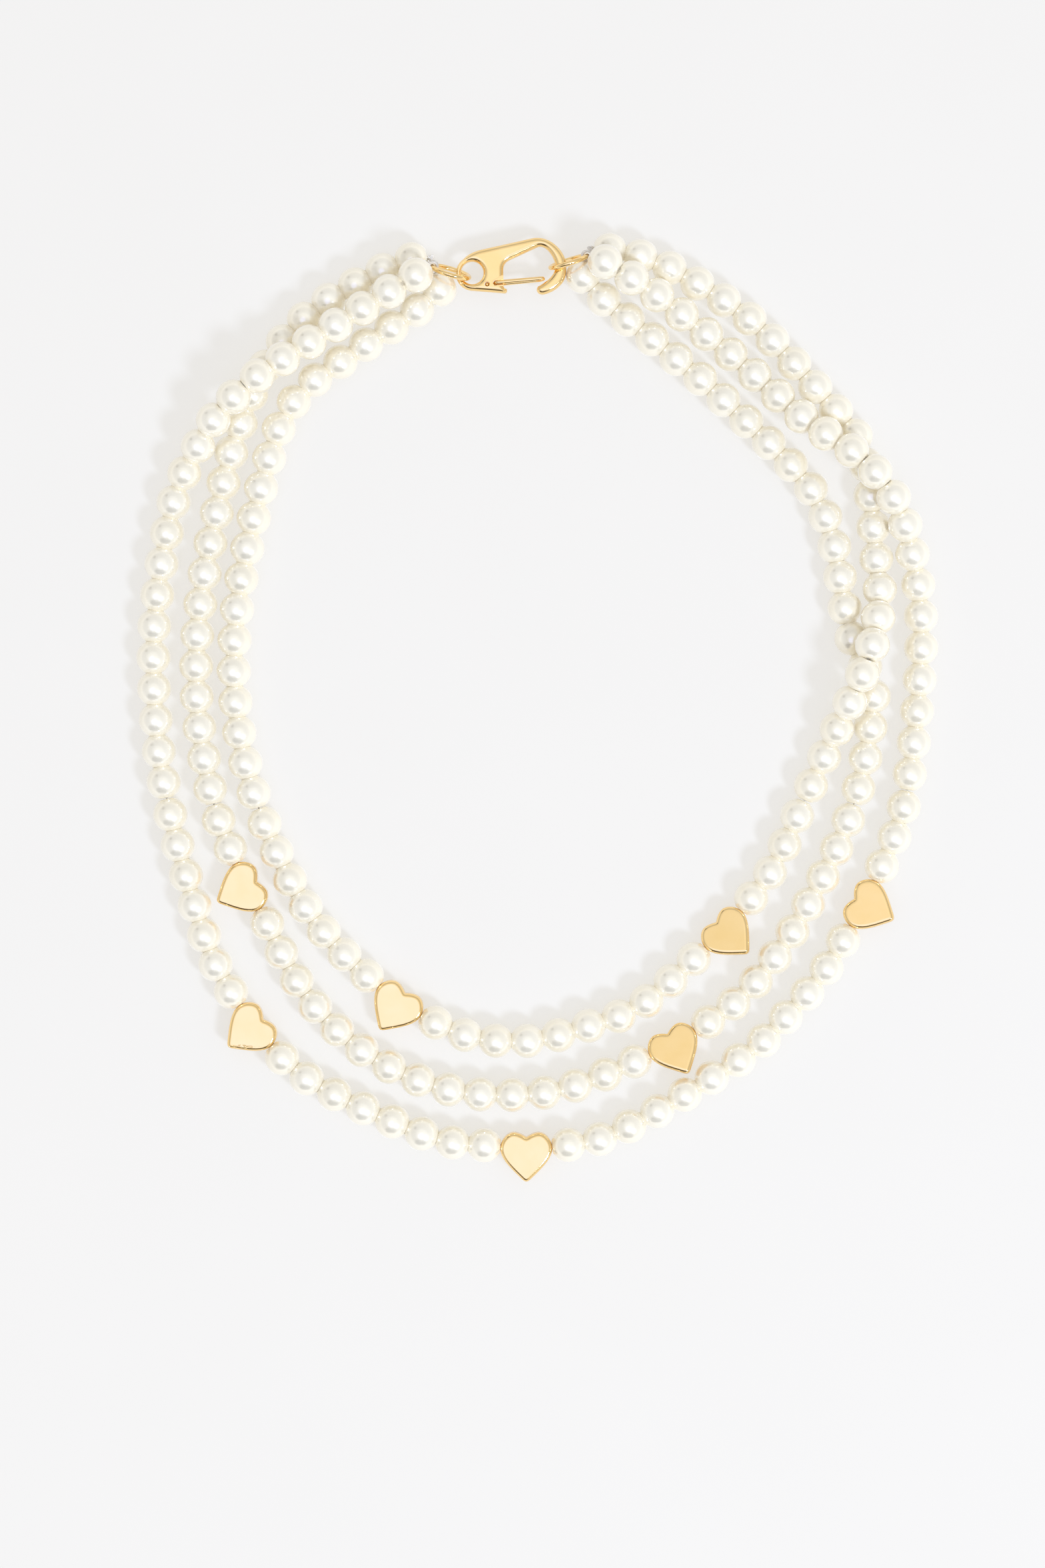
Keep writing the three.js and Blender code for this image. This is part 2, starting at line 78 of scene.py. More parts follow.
# Each strand has its thread's route, the places of its hearts, the number of pearls before, between and
# after them, how many of those lie at the left and right of its front, and how many spacings above the middle
# of the left and of the right ring its thread turns.
STRANDS = {
    "inner": {
        "route": [
            (-17.7, 76.5, 3.1), (-17.3, 73.7, 3), (-21, 70.4, 3), (-38.7, 58.3, 3), (-42.9, 54.1, 3),
            (-45.7, 49, 3), (-48.6, 39.2, 3), (-51, 28.8, 3), (-52.9, 17.8, 3), (-53.5, 6.5, 3),
            (-52.5, -4.6, 3), (-50, -14.9, 3), (-46.1, -25, 3), (-41, -34.7, 3), (-34, -43.4, 3),
            (-24.3, -51.6, 3), (-13.2, -57.4, 3), (-2.1, -58.6, 3), (8.8, -56, 3), (19.2, -51.6, 3),
            (32.8, -38.9, 3), (41, -29, 3), (45.8, -19, 3), (50.4, -8.9, 3.2), (52.6, -3.8, 4.9),
            (54.9, 1.4, 7.5), (57.1, 6.7, 9.1), (58.8, 11.7, 8.2), (60, 17, 5.6), (60.3, 22.5, 3.5),
            (59.6, 28, 3), (58.8, 37.2, 3), (58, 42.8, 3), (55.9, 48.5, 3), (41.4, 65, 3),
            (32.9, 72, 3), (23.1, 77.8, 3), (18, 79.8, 3), (12.8, 80.8, 3.1), (10.1, 80.2, 3.6),
        ],
        "hearts": {"left": (-24.3, -51.6), "right": (32.8, -38.9)},
        "pearls": (27, 10, 27),
        "side_pearls": (20, 23),
        "turn_levels": (-1, 0),
    },
    "middle": {
        "route": [
            (-19.5, 79.1, 3.3), (-22.2, 79.2, 3), (-27.1, 77.4, 3), (-36.4, 72.3, 3), (-41, 68.8, 3),
            (-45, 64.5, 3), (-48.6, 59.2, 3), (-51, 53.9, 3), (-54.2, 44.2, 3), (-56.7, 33.6, 3),
            (-58.8, 22.9, 3), (-60, 12.2, 3), (-60, 1.3, 3), (-58.6, -9.6, 3), (-55.8, -20.8, 3),
            (-50.8, -31.2, 3), (-42.4, -48, 3), (-34.8, -57.1, 3), (-26, -63.2, 3), (-15.4, -67.2, 3),
            (-4.2, -68.1, 3), (7.3, -66.3, 3), (23.8, -58.9, 3), (35.1, -51.6, 3), (42.6, -42.9, 3),
            (48.4, -33.4, 3), (53.4, -23.3, 3), (56.9, -13.2, 3), (58.9, -2.6, 3), (59.3, 2.9, 3),
            (57.5, 8.2, 3), (55, 13.5, 3), (54, 19, 3), (52.1, 29.6, 3), (47.4, 39.9, 3),
            (32.1, 55.1, 3), (24.1, 62, 3), (11.4, 72.4, 3), (8.1, 76.1, 3.1), (8.4, 78.8, 3.3),
        ],
        "hearts": {"left": (-50.8, -31.2), "right": (23.8, -58.9)},
        "pearls": (23, 15, 30),
        "side_pearls": (21, 21),
        "turn_levels": (0, -1),
    },
    "outer": {
        "route": [
            (-19.7, 77, 6.3), (-21.6, 75.5, 8.2), (-26, 72.9, 7.4), (-35.1, 67.2, 7.3), (-44.3, 61.2, 8.1),
            (-48.9, 58, 9.2), (-53.2, 54.3, 8.7), (-57.1, 50, 7.3), (-62.8, 40, 3.7), (-65.3, 31, 3),
            (-67.5, 15, 3), (-67.4, 0, 3), (-65.8, -13.5, 3), (-61.9, -29.6, 3), (-56.6, -45.4, 3),
            (-49.5, -55.7, 3), (-40.8, -65.1, 3), (-20.4, -74.9, 3), (-9.2, -77, 3), (5.6, -76.9, 3),
            (16.3, -73.6, 3), (35.9, -61.7, 3), (44, -54.2, 3), (51.1, -45.6, 3), (57.4, -34.3, 3),
            (62.9, -22.9, 3), (65.6, -12.1, 3), (67.5, 6, 3), (67.6, 18, 3), (66.5, 25, 3.8),
            (65, 31, 5.8), (62.6, 36.5, 8.1), (58.9, 41.4, 9.2), (54.8, 45.1, 8.4), (50.3, 48.2, 7),
            (46, 51.6, 5.1), (34.2, 62.4, 3), (20.8, 72.7, 5.6), (16.4, 75.4, 7.3), (12, 77.9, 8.5),
            (10.1, 79.1, 6.7),
        ],
        "hearts": {"left": (-49.5, -55.7), "centre": (-1.9, -77.3), "right": (57.4, -34.3)},
        "pearls": (28, 8, 12, 25),
        "side_pearls": (21, 22),
        "turn_levels": (1, 1),
    },
}
HEART_TILT = {"left": 2, "centre": 2, "right": -9}  # degrees about the thread, below zero with the tip raised
# The strand that is knotted at each side, and the place of its knot
KNOTS = {"left": ("middle", (-18.75, 79.4, 3.75)), "right": ("inner", (9.35, 80.95, 3.9))}

UP = Vector((0, 0, 1))


# ---------------------------------------------------------------- paths

def curve_point(a, b, c, d, u):
    """A uniform Catmull-Rom curve's point between b and c, for u from 0 to 1."""
    return (
        b * (2 * u**3 - 3 * u**2 + 1) + (c - a) / 2 * (u**3 - 2 * u**2 + u)
        + c * (3 * u**2 - 2 * u**3) + (d - b) / 2 * (u**3 - u**2)
    )


class Route:
    """A strand's thread: a curve through the points, measured by arc length as the CAD measures it."""

    DIVISIONS = 24  # to each step between two points, for the measuring
    HALF_STEP = 0.05  # for the thread's direction, in millimetres
    SEARCH_STEP = 0.1

    def __init__(self, points):
        p = np.array(points, float)
        self.p = np.vstack([2 * p[0] - p[1], p, 2 * p[-1] - p[-2]])
        self.steps = len(points) - 1
        self.t = np.linspace(0, self.steps, self.DIVISIONS * self.steps + 1)
        spots = np.array([self.at(t) for t in self.t])
        self.reach = np.concatenate([[0], np.cumsum(np.linalg.norm(np.diff(spots, axis=0), axis=1))])
        self.length = float(self.reach[-1])

    def at(self, t):
        i = min(int(t), self.steps - 1)
        return curve_point(*self.p[i:i + 4], t - i)

    def point(self, distance):
        x, y, z = self.at(float(np.interp(distance, self.reach, self.t)))
        return Vector((x, y, max(z, PEARL_RADIUS)))

    def along(self, distance):
        before = self.point(max(distance - self.HALF_STEP, 0))
        after = self.point(min(distance + self.HALF_STEP, self.length))
        return (after - before).normalized()

    def nearest(self, place):
        distances = np.arange(0, self.length, self.SEARCH_STEP)
        gaps = [math.hypot(q.x - place[0], q.y - place[1]) for q in map(self.point, distances)]
        return float(distances[int(np.argmin(gaps))])


class Ring:
    """A jump ring's circle: its centre, the direction to its threads, and its lean in radians."""

    def __init__(self, centre, outward, lean):
        self.centre = Vector(centre)
        self.outward = Vector(outward).normalized()
        self.upright = UP.cross(self.outward) * -math.sin(lean) + UP * math.cos(lean)

    def point(self, angle):
        spoke = self.outward * math.cos(angle) + self.upright * math.sin(angle)
        return self.centre + spoke * RING_RADIUS


RINGS = {
    "left": Ring((-15.25, 76.85, RING_HEIGHT), (-0.955, 0.3, 0), -0.28),
    "right": Ring((5.56, 78.66, RING_HEIGHT), (0.95, 0.312, 0), 0.21),
}


# ---------------------------------------------------------------- materials

# The sockets of a mix node that mixes colours
MIX_FACTOR = 0
MIX_A = 6
MIX_B = 7
MIX_RESULT = 2


def set_inputs(shader, values):
    for name, value in values.items():
        shader.inputs[name].default_value = value


def new_material(name):
    material = bpy.data.materials.new(name)
    material.use_nodes = True
    tree = material.node_tree
    tree.nodes.clear()
    output = tree.nodes.new("ShaderNodeOutputMaterial")
    shader = tree.nodes.new("ShaderNodeBsdfPrincipled")
    tree.links.new(shader.outputs["BSDF"], output.inputs["Surface"])
    return material, tree, shader


def node(tree, kind, values=None, **properties):
    made = tree.nodes.new(kind)
    for key, value in properties.items():
        setattr(made, key, value)
    set_inputs(made, values or {})
    return made


def ramp(tree, factor, stops):
    made = tree.nodes.new("ShaderNodeValToRGB")
    elements = made.color_ramp.elements
    while len(elements) < len(stops):
        elements.new(0.5)
    for element, (place, colour) in zip(elements, stops):
        element.position = place
        element.color = (*colour, 1)
    tree.links.new(factor, made.inputs["Fac"])
    return made.outputs["Color"]


def noise(tree, scale, detail=2.0, roughness=0.5, stretch=None):
    place = tree.nodes.new("ShaderNodeTexCoord").outputs["Object"]
    if stretch:
        mapping = node(tree, "ShaderNodeMapping", {"Scale": stretch})
        tree.links.new(place, mapping.inputs["Vector"])
        place = mapping.outputs["Vector"]
    made = node(tree, "ShaderNodeTexNoise", {"Scale": scale, "Detail": detail, "Roughness": roughness})
    tree.links.new(place, made.inputs["Vector"])
    return made.outputs["Fac"]


def between(tree, factor, low, high):
    made = node(tree, "ShaderNodeMapRange", {"To Min": low, "To Max": high})
    tree.links.new(factor, made.inputs["Value"])
    return made.outputs["Result"]


def bump(tree, shader, height, strength, distance):
    made = node(tree, "ShaderNodeBump", {"Strength": strength, "Distance": distance})
    tree.links.new(height, made.inputs["Height"])
    tree.links.new(made.outputs["Normal"], shader.inputs["Normal"])


def pearl_material():
    """Lacquered imitation pearl: a cream body that varies from bead to bead, under a clear glossy skin, with
    a faint painted glow that stands in for light scattered inside the bead.
    """
    material, tree, shader = new_material("pearl_lacquer")
    island = tree.nodes.new("ShaderNodeNewGeometry").outputs["Random Per Island"]
    creams = [(0, (0.95, 0.88, 0.70)), (0.5, (0.965, 0.905, 0.745)), (1, (0.97, 0.90, 0.72))]
    cloud = ramp(tree, noise(tree, 420, 3), [(0.3, (0.97, 0.965, 0.95)), (0.7, (1, 1, 1))])
    mix = node(tree, "ShaderNodeMix", {"Factor": 1.0}, data_type="RGBA", blend_type="MULTIPLY")
    tree.links.new(ramp(tree, island, creams), mix.inputs[MIX_A])
    tree.links.new(cloud, mix.inputs[MIX_B])
    tree.links.new(mix.outputs[MIX_RESULT], shader.inputs["Base Color"])
    tree.links.new(between(tree, noise(tree, 900), 0.18, 0.26), shader.inputs["Roughness"])
    set_inputs(shader, {
        "Metallic": 0.3,
        "IOR": 2.0,
        "Coat Weight": 1.0,
        "Coat Roughness": 0.03,
        "Coat IOR": 1.6,
        "Sheen Weight": 0.35,
        "Sheen Roughness": 0.4,
        # painted light: a faint cream glow of the bead's own, standing in for light scattered inside it,
        # which lifts its shaded side
        "Emission Color": (1, 0.95, 0.83, 1),
        "Emission Strength": 0.045,
    })
    bump(tree, shader, noise(tree, 1600), 0.12, 0.00004)
    return material


def nick_depth(tree, centre, half_sizes):
    """Short streaks inside an ellipsoid with that centre and those half sizes, fading near its surface."""
    place = tree.nodes.new("ShaderNodeTexCoord").outputs["Object"]
    offset = node(tree, "ShaderNodeVectorMath", operation="SUBTRACT")
    tree.links.new(place, offset.inputs[0])
    offset.inputs[1].default_value = Vector(centre) * MM
    share = node(tree, "ShaderNodeVectorMath", operation="DIVIDE")
    tree.links.new(offset.outputs["Vector"], share.inputs[0])
    share.inputs[1].default_value = Vector(half_sizes) * MM
    reach = node(tree, "ShaderNodeVectorMath", operation="LENGTH")
    tree.links.new(share.outputs["Vector"], reach.inputs[0])
    near = node(tree, "ShaderNodeMapRange", {"From Min": 1.0, "From Max": 0.7})
    tree.links.new(reach.outputs["Value"], near.inputs["Value"])
    streaks = noise(tree, 1500, 4, 0.7, stretch=(0.6, 1.5, 1.0))
    depth = node(tree, "ShaderNodeMath", operation="MULTIPLY")
    tree.links.new(near.outputs["Result"], depth.inputs[0])
    tree.links.new(ramp(tree, streaks, [(0.5, (0, 0, 0)), (0.56, (1, 1, 1))]), depth.inputs[1])
    return depth.outputs["Value"]


def gold_material(name, nicks=None):
    """Polished gold plating with faint clouding, and the nicks of one patch if it has any."""
    material, tree, shader = new_material(name)
    tone = ramp(tree, noise(tree, 260, 3), [(0.3, (0.98, 0.70, 0.315)), (0.7, (1.0, 0.73, 0.355))])
    tree.links.new(tone, shader.inputs["Base Color"])
    shader.inputs["Metallic"].default_value = 1.0
    tree.links.new(between(tree, noise(tree, 1100, 4), 0.06, 0.14), shader.inputs["Roughness"])
    if nicks:
        bump(tree, shader, nick_depth(tree, *nicks), 0.9, 0.0001)
    else:
        bump(tree, shader, noise(tree, 700), 0.05, 0.00006)
    return material


def nylon_material():
    """Nylon thread, milky because light scatters in it."""
    material, tree, shader = new_material("clear_nylon")
    tone = ramp(tree, noise(tree, 900), [(0.3, (0.98, 0.92, 0.82)), (0.7, (1.0, 0.965, 0.9))])
    tree.links.new(tone, shader.inputs["Base Color"])
    tree.links.new(between(tree, noise(tree, 1500), 0.05, 0.15), shader.inputs["Roughness"])
    set_inputs(shader, {"IOR": 1.5, "Transmission Weight": 0.2, "Coat Weight": 0.6})
    return material


def floor_material():
    """White paper: part of its light is its own, which keeps the shadows on it pale and warm."""
    material, tree, shader = new_material("studio_paper")
    tone = ramp(tree, noise(tree, 30, 3), [(0.3, (0.265, 0.263, 0.26)), (0.7, (0.27, 0.268, 0.265))])
    tree.links.new(tone, shader.inputs["Base Color"])
    set_inputs(shader, {
        "Roughness": 0.9,
        "Specular IOR Level": 0.1,
        "Emission Color": (1, 0.975, 0.92, 1),
        "Emission Strength": 0.635,
    })
    return material


PEARL = pearl_material()
GOLD = gold_material("polished_gold")
NYLON = nylon_material()


# ---------------------------------------------------------------- mesh helpers

def add_object(name, data):
    made = bpy.data.objects.new(name, data)
    bpy.context.scene.collection.objects.link(made)
    return made


def make_object(name, mesh, material):
    mesh.materials.clear()
    mesh.materials.append(material)
    return add_object(name, mesh)


def mesh_of(name, vertices, faces):
    mesh = bpy.data.meshes.new(name)
    mesh.from_pydata([tuple(v) for v in vertices], [], faces)
    mesh.validate()
    mesh.shade_smooth()
    return mesh


def place_piece(piece, node_name, body):
    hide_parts(node_name)
    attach(piece, body)


def across_of(along):
    """A level direction across another, or +X if that one is upright."""
    side = along.cross(UP)
    return side.normalized() if side.length > 0.01 else Vector((1, 0, 0))


CAPS = (0.9, 0.6, 0.3)  # radii of a tube's rounded ends, as shares of the tube's own


def tube(points, radius, sides):
    """Vertices and faces of a closed tube along points, in the points' own units, with rounded ends."""
    points = [Vector(p) for p in points]
    last = len(points) - 1
    tangents = [(points[min(i + 1, last)] - points[max(i - 1, 0)]).normalized() for i in range(last + 1)]
    normal = across_of(tangents[0])
    rings = []
    for p, t in zip(points, tangents):
        normal = (normal - t * normal.dot(t)).normalized()
        rings.append((p, normal.copy(), t.cross(normal), radius))

    def cap(ring, direction):
        p, u, v, r = ring
        return [(p + direction * r * math.sqrt(1 - c * c), u, v, r * c) for c in CAPS]

    rings = cap(rings[0], -tangents[0])[::-1] + rings + cap(rings[-1], tangents[-1])
    vertices, faces = [], []
    for p, u, v, r in rings:
        for k in range(sides):
            a = 2 * math.pi * k / sides
            vertices.append(p + (u * math.cos(a) + v * math.sin(a)) * r)
    for i in range(len(rings) - 1):
        for k in range(sides):
            a, b = i * sides + k, i * sides + (k + 1) % sides
            faces.append((a, b, b + sides, a + sides))
    faces.append(tuple(range(sides))[::-1])
    faces.append(tuple(range(len(vertices) - sides, len(vertices))))
    return vertices, faces


def joined_mesh(name, shapes):
    """One mesh, in metres, from shapes of vertices and faces in millimetres."""
    vertices, faces = [], []
    for shape_vertices, shape_faces in shapes:
        start = len(vertices)
        vertices += [Vector(v) * MM for v in shape_vertices]
        faces += [tuple(i + start for i in face) for face in shape_faces]
    return mesh_of(name, vertices, faces)


def evaluated_mesh(obj):
    graph = bpy.context.evaluated_depsgraph_get()
    mesh = bpy.data.meshes.new_from_object(obj.evaluated_get(graph))
    bpy.data.objects.remove(obj)
    return mesh


PLATE_SPACING = 0.2  # along an outline, in millimetres
EDGE_ANGLES = (24, 42, 57, 70, 80, 90)  # of a rounded edge's rows of points, in degrees from the side wall
FACE_MARGIN = 0.12  # of flat face beside the rounding, which keeps the rest of the face's shading flat
ROW_SHARE = 0.97  # of its inset that a row's point keeps from every outline, or it is left out
MERGE_DISTANCE = 1e-5


def depth_inside(loops, spots):
    """Each spot's distance to the nearest side of the loops, negative for a spot outside the material."""
    start = np.vstack(loops)
    end = np.vstack([np.roll(loop, -1, axis=0) for loop in loops])
    side = end - start
    offset = spots[:, None] - start
    share = np.clip((offset * side).sum(-1) / (side**2).sum(-1), 0, 1)
    depth = np.linalg.norm(offset - share[..., None] * side, axis=-1).min(axis=1)
    spans = (start[:, 1] > spots[:, None, 1]) != (end[:, 1] > spots[:, None, 1])
    rise = np.where(side[:, 1] == 0, 1, side[:, 1])
    crossing = start[:, 0] + (spots[:, None, 1] - start[:, 1]) * side[:, 0] / rise
    inside = (spans & (spots[:, None, 0] < crossing)).sum(axis=1) % 2 == 1
    return np.where(inside, depth, -depth)


def resampled(loop):
    spots = []
    for a, b in zip(loop, [*loop[1:], loop[0]]):
        count = max(1, math.ceil(math.dist(a, b) / PLATE_SPACING))
        for k in range(count):
            spots.append((a[0] + (b[0] - a[0]) * k / count, a[1] + (b[1] - a[1]) * k / count))
    return np.array(spots)


def edge_rows(loops, edge):
    """Rows of points beside the loops: across the rounding of the edge, and one on the flat face."""
    insets = [edge * (1 - math.cos(math.radians(angle))) for angle in EDGE_ANGLES] + [edge + FACE_MARGIN]
    rows = []
    for loop in loops:
        tangent = np.roll(loop, -1, axis=0) - np.roll(loop, 1, axis=0)
        normal = np.stack([-tangent[:, 1], tangent[:, 0]], axis=1)
        normal /= np.linalg.norm(normal, axis=1)[:, None]
        for inset in insets:
            for way in (1, -1):
                row = loop + normal * inset * way
                rows.append(row[depth_inside(loops, row) > inset * ROW_SHARE])
    return rows


def plate_mesh(outline, holes, thickness, edge):
    """A plate about z = 0, in millimetres, whose faces round off to every outline by the edge's radius."""
    loops = [resampled(loop) for loop in (outline, *holes)]
    sides = []
    for loop in loops:
        first = len(sides)
        sides += [(first + k, first + (k + 1) % len(loop)) for k in range(len(loop))]
    spots = [Vector(spot) for spot in np.vstack([*loops, *edge_rows(loops, edge)])]
    corners, _, triangles, *_ = delaunay_2d_cdt(spots, sides, [], 0, MERGE_DISTANCE)
    corners = np.array([tuple(c) for c in corners])
    middles = np.array([corners[list(t)].mean(axis=0) for t in triangles])
    triangles = [t for t, depth in zip(triangles, depth_inside(loops, middles)) if depth > 0]

    inward = edge - np.clip(np.abs(depth_inside(loops, corners)), 0, edge)
    heights = thickness / 2 - edge + np.sqrt(edge**2 - inward**2)
    top = [(x, y, z) for (x, y), z in zip(corners, heights)]
    n = len(top)
    faces = [*triangles, *[tuple(i + n for i in t[::-1]) for t in triangles]]
    used = Counter(tuple(sorted(side)) for t in triangles for side in zip(t, (*t[1:], t[0])))
    faces += [(a, b, b + n, a + n) for (a, b), times in used.items() if times == 1]
    mesh = bpy.data.meshes.new("plate")
    mesh.from_pydata(top + [(x, y, -z) for x, y, z in top], [], faces)
    work = bmesh.new()
    work.from_mesh(mesh)
    bmesh.ops.delete(work, geom=[v for v in work.verts if not v.link_faces], context="VERTS")
    bmesh.ops.recalc_face_normals(work, faces=work.faces)
    work.to_mesh(mesh)
    work.free()
    return mesh


def prism(outline, low, high):
    """Vertices and faces of an upright prism over an outline."""
    n = len(outline)
    vertices = [(x, y, low) for x, y in outline] + [(x, y, high) for x, y in outline]
    faces = [(i, (i + 1) % n, (i + 1) % n + n, i + n) for i in range(n)]
    faces += [tuple(range(n))[::-1], tuple(range(n, 2 * n))]
    return vertices, faces


def arc(centre, radius, start, sweep, steps):
    """Points of an arc and both its ends, from an angle through a sweep, below zero if it is clockwise."""
    angles = [start + sweep * k / steps for k in range(steps + 1)]
    return [(centre[0] + radius * math.cos(a), centre[1] + radius * math.sin(a)) for a in angles]


def circle(centre, radius, steps):
    return arc(centre, radius, 0, 2 * math.pi, steps)[:-1]


def bezier(a, b, c, d, steps):
    """Points along a cubic from a to d, without its start."""
    spots = []
    for k in range(1, steps + 1):
        t = k / steps
        w = ((1 - t) ** 3, 3 * t * (1 - t) ** 2, 3 * t * t * (1 - t), t**3)
        spots.append(tuple(sum(weight * p[i] for weight, p in zip(w, (a, b, c, d))) for i in (0, 1)))
    return spots


def outline_of(start, moves, steps):
    """A closed outline: each move is the end of a line, or a cubic's two handles and end."""
    spots = [start]
    for move in moves:
        if len(move) == 3:
            spots += bezier(spots[-1], *move, steps)
        else:
            spots.append(move[0])
    if math.dist(spots[0], spots[-1]) < 1e-6:
        spots.pop()
    return spots


def cut(mesh, cutters):
    """The mesh less each cutter, both in millimetres."""
    body = add_object("body", mesh)
    tools = []
    for vertices, faces in cutters:
        tool_mesh = bpy.data.meshes.new("tool")
        tool_mesh.from_pydata([tuple(v) for v in vertices], [], faces)
        tool = add_object("tool", tool_mesh)
        modifier = body.modifiers.new("cut", "BOOLEAN")
        modifier.operation = "DIFFERENCE"
        modifier.solver = "EXACT"
        modifier.object = tool
        tools.append(tool)
    result = evaluated_mesh(body)
    for tool in tools:
        bpy.data.objects.remove(tool)
    return result


SHARP_ANGLE = 38  # degrees between two faces, from which their edge is shaded sharp
FACE_WEIGHT = 80  # above the neutral 50, so that large flat faces set the shading of their corners


def finish_hard_surface(mesh, matrix):
    """Puts a cut plate in place and gives it smooth rounded edges round flat faces."""
    mesh.transform(matrix)
    work = bmesh.new()
    work.from_mesh(mesh)
    bmesh.ops.recalc_face_normals(work, faces=work.faces)
    work.to_mesh(mesh)
    work.free()
    mesh.shade_smooth()
    mesh.set_sharp_from_angle(angle=math.radians(SHARP_ANGLE))
    holder = add_object("holder", mesh)
    weighted = holder.modifiers.new("faces", "WEIGHTED_NORMAL")
    weighted.keep_sharp = True
    weighted.weight = FACE_WEIGHT
    return evaluated_mesh(holder)


# ---------------------------------------------------------------- pearls

PEARL_STEPS = 9  # from the equator to each end
PEARL_SEGMENTS = 28
PEARL_HOLE = 0.42  # radius
HOLE_DEPTH = 0.8  # to its closed end
VISUAL_RADIUS = 3.08  # of a round pearl, against the CAD's faceted one
PEARL_FLAT = 0.07  # how far before each end the ball gives way to the flat round its hole
PEARL_PRESS = 0.05  # how far each end goes into its neighbour, so that no dark gap shows
PEARL_SPIN = 0.37  # radians that each pearl is turned on from the one before


def pearl_profile(half_length):
    """Distance along the hole and radius: a ball with a small flat at each end, and a hole inwards."""
    widest_angle = math.asin((half_length - PEARL_FLAT) / VISUAL_RADIUS)
    angles = [widest_angle * k / PEARL_STEPS for k in range(1, PEARL_STEPS + 1)]
    side = [(VISUAL_RADIUS * math.sin(a), VISUAL_RADIUS * math.cos(a)) for a in angles]
    rim = side[-1][1]
    end = [
        (half_length - 0.015, rim - 0.12), (half_length, rim - 0.3), (half_length, PEARL_HOLE + 0.1),
        (half_length - 0.04, PEARL_HOLE), (half_length - HOLE_DEPTH, PEARL_HOLE - 0.03),
    ]
    right = side + end
    return [(-x, r) for x, r in right[::-1]] + [(0, VISUAL_RADIUS)] + right


def pearl(centre, along, spin, profile):
    """Vertices and faces of one pearl, drilled along the thread, closed deep in its hole."""
    side = across_of(along)
    top = side.cross(along)
    vertices, faces = [], []
    for x, r in profile:
        for k in range(PEARL_SEGMENTS):
            a = spin + 2 * math.pi * k / PEARL_SEGMENTS
            vertices.append(centre + along * x + (side * math.cos(a) + top * math.sin(a)) * r)
    for i in range(len(profile) - 1):
        for k in range(PEARL_SEGMENTS):
            a, b = i * PEARL_SEGMENTS + k, i * PEARL_SEGMENTS + (k + 1) % PEARL_SEGMENTS
            faces.append((a, a + PEARL_SEGMENTS, b + PEARL_SEGMENTS, b))
    faces.append(tuple(range(PEARL_SEGMENTS)))
    faces.append(tuple(range(len(vertices) - PEARL_SEGMENTS, len(vertices)))[::-1])
    return vertices, faces


def pearl_distances(route, heart_distances, strand):
    """The pearls' distances along their thread, in one list for each stretch between hearts."""
    marks = [0, *heart_distances, route.length]
    counts = strand["pearls"]
    left_count, right_count = strand["side_pearls"]
    last = len(counts) - 1
    folds = {0: left_count, last: counts[last] - right_count}
    sections = []
    for k, count in enumerate(counts):
        start = marks[k] + (HEART_SPAN / 2 if k > 0 else 0)
        end = marks[k + 1] - (HEART_SPAN / 2 if k < last else 0)
        play = FOLD_PLAY if k in folds else 0
        pitch = (end - start - play) / count
        fold = folds.get(k, count)
        sections.append([start + (i + 0.5) * pitch + (play if i >= fold else 0) for i in range(count)])
    return sections


def add_pearls(name, distances, route, body):
    profile = pearl_profile((distances[1] - distances[0]) / 2 + PEARL_PRESS)
    shapes = [pearl(route.point(d), route.along(d), PEARL_SPIN * i, profile) for i, d in enumerate(distances)]
    piece = make_object(f"{name}_beads", joined_mesh(name, shapes), PEARL)
    place_piece(piece, name, body)


# ---------------------------------------------------------------- heart beads

HEART_WIDTH = 9.16
HEART_TIP = -6.15  # from the thread
HEART_LOBES = 2.5  # from the thread to the tops of the lobes
HEART_CLEFT = 0.85  # below the tops of the lobes
HEART_THICKNESS = 3.0
HEART_EDGE = 0.7  # radius of its rounding
HEART_BORE = 0.5  # radius
HEART_STEPS = 9  # along each curve of its outline
BORE_STEPS = 20


def heart_outline():
    """The heart from its tip, anticlockwise: half of the rounded tip, the side, the lobe and its way down."""
    half = HEART_WIDTH / 2
    cleft = HEART_LOBES - HEART_CLEFT
    right = [
        ((0.3, HEART_TIP + 0.02), (0.55, HEART_TIP + 0.2), (0.85, HEART_TIP + 0.5)),
        ((2.8, HEART_TIP + 2.4), (half, -2.1), (half, -0.3)),
        ((half, 1.15), (3.35, HEART_LOBES), (2.25, HEART_LOBES)),
        ((1.35, HEART_LOBES), (0.62, cleft + 0.38), (0, cleft)),
    ]
    spots = outline_of((0, HEART_TIP), right, HEART_STEPS)
    left = [(-x, y) for x, y in spots[::-1] if x > 1e-6]
    return spots + left


def heart_shape():
    """A heart bead about its thread, which runs along X: its tip points to -Y, its faces to +Z and -Z."""
    mesh = plate_mesh(heart_outline(), [], HEART_THICKNESS, HEART_EDGE)
    vertices, faces = prism(circle((0, 0), HEART_BORE, BORE_STEPS), -HEART_WIDTH, HEART_WIDTH)
    return cut(mesh, [([(z, x, y) for x, y, z in vertices], faces)])


def add_heart(name, start, end, tilt, material):
    along = (end - start).normalized()
    inward = UP.cross(along).normalized()
    turn = Matrix((along, inward, along.cross(inward))).transposed().to_4x4()
    place = Matrix.Translation((start + end) / 2 * MM) @ turn @ Matrix.Rotation(math.radians(tilt), 4, "X")
    mesh = finish_hard_surface(heart_shape(), place @ Matrix.Scale(MM, 4))
    piece = make_object(f"{name}_bead", mesh, material)
    place_piece(piece, name, name)


# ---------------------------------------------------------------- threads

